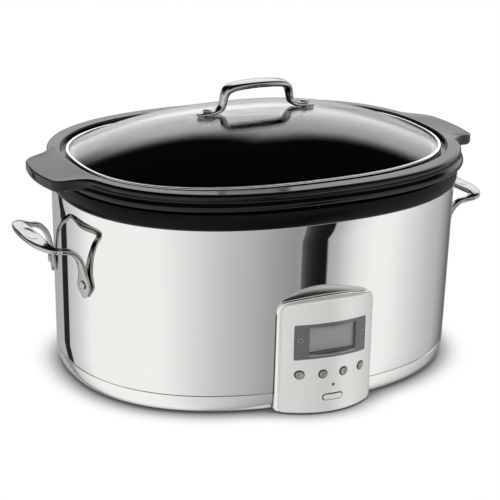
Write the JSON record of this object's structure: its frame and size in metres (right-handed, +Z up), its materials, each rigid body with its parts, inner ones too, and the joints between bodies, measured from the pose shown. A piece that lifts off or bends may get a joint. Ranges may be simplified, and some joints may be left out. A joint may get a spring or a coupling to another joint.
{
  "type": "slow cooker",
  "caption": "Oval countertop slow cooker with a steel body, lift-out stoneware crock, domed glass lid, side handles and a front control pod.",
  "frame": {"origin": "on the table, under the middle of the overall box", "axes": "+X along the long axis towards the right handle, -Y towards the control pod, +Z up"},
  "size_m": [0.4626, 0.3232, 0.2666],
  "materials": {
    "polished_steel": "mirror polished stainless steel",
    "satin_steel": "fine satin stainless steel",
    "zinc_plate": "zinc plated steel",
    "black_phenolic": "satin heat-resistant plastic",
    "black_rubber": "matt",
    "well_aluminium": "mill finish",
    "heater_foil": "foil over mica",
    "glass_felt": "woven glass felt",
    "white_ceramic": "matt",
    "circuit_board": "solder mask",
    "white_nylon": "natural",
    "dark_component": "moulded",
    "transformer_core": "taped windings",
    "blue_component": "sleeved",
    "green_component": "moulded",
    "red_wire": "silicone insulation",
    "grey_ribbon": "ribbon cable",
    "smoked_window": "tinted acrylic",
    "lcd_grey": "liquid crystal glass",
    "amber_led": "clear lens",
    "red_led": "clear lens",
    "black_stoneware": "satin black glaze",
    "clear_glass": "tempered",
    "white_silicone": "silicone"
  },
  "bodies": {
    "base": {"housing_wall": "polished_steel", "housing_collar": "black_phenolic", "base_ring": "satin_steel", "base_plate": "zinc_plate", "plate_screws": "zinc_plate", "feet": "black_rubber", "heating_well": "well_aluminium", "heater_band": "heater_foil", "insulation_blanket": "glass_felt", "tie_rods": "zinc_plate", "tie_nuts": "zinc_plate", "heat_shield": "well_aluminium", "temperature_sensor": "well_aluminium", "thermal_fuse": "white_ceramic", "power_board": "circuit_board", "power_board_standoffs": "white_nylon", "power_board_screws": "zinc_plate", "relay": "dark_component", "transformer": "transformer_core", "capacitor": "blue_component", "terminal_block": "green_component", "heater_leads": "red_wire", "control_leads": "grey_ribbon", "cord_gland": "black_phenolic", "cord_gland_nut": "black_phenolic", "left_handle": "polished_steel", "right_handle": "polished_steel", "handle_rivets": "polished_steel", "rivet_washers": "zinc_plate", "pod_frame": "polished_steel", "pod_cover": "satin_steel", "display_window": "smoked_window", "lcd_module": "lcd_grey", "cooking_lights": "amber_led", "power_light": "red_led", "control_board": "circuit_board", "board_screws": "zinc_plate", "button_switches": "dark_component"},
    "crock": {"crock": "black_stoneware"},
    "lid": {"lid_glass": "clear_glass", "lid_rim": "polished_steel", "lid_handle": "polished_steel", "lid_screws": "polished_steel", "lid_washers": "white_silicone", "lid_nuts": "polished_steel"},
    "button_1_body": {"button_1": "polished_steel"},
    "button_2_body": {"button_2": "polished_steel"},
    "button_3_body": {"button_3": "polished_steel"},
    "button_4_body": {"button_4": "polished_steel"},
    "power_button_body": {"power_button": "polished_steel"}
  },
  "joints": [
    {"name": "crock_lift", "type": "slide", "parent": "base", "child": "crock", "axis": [0, 0, 1], "range_m": [0, 0.2]},
    {"name": "lid_lift", "type": "slide", "parent": "crock", "child": "lid", "axis": [0, 0, 1], "range_m": [0, 0.15]},
    {"name": "button_1_press", "type": "slide", "parent": "base", "child": "button_1_body", "axis": [0, 1, 0], "range_m": [0, 0.0008], "stiffness_N_per_m": 300},
    {"name": "button_2_press", "type": "slide", "parent": "base", "child": "button_2_body", "axis": [0, 1, 0], "range_m": [0, 0.0008], "stiffness_N_per_m": 300},
    {"name": "button_3_press", "type": "slide", "parent": "base", "child": "button_3_body", "axis": [0, 1, 0], "range_m": [0, 0.0008], "stiffness_N_per_m": 300},
    {"name": "button_4_press", "type": "slide", "parent": "base", "child": "button_4_body", "axis": [0, 1, 0], "range_m": [0, 0.0008], "stiffness_N_per_m": 300},
    {"name": "power_button_press", "type": "slide", "parent": "base", "child": "power_button_body", "axis": [0, 1, 0], "range_m": [0, 0.0008], "stiffness_N_per_m": 300}
  ]
}
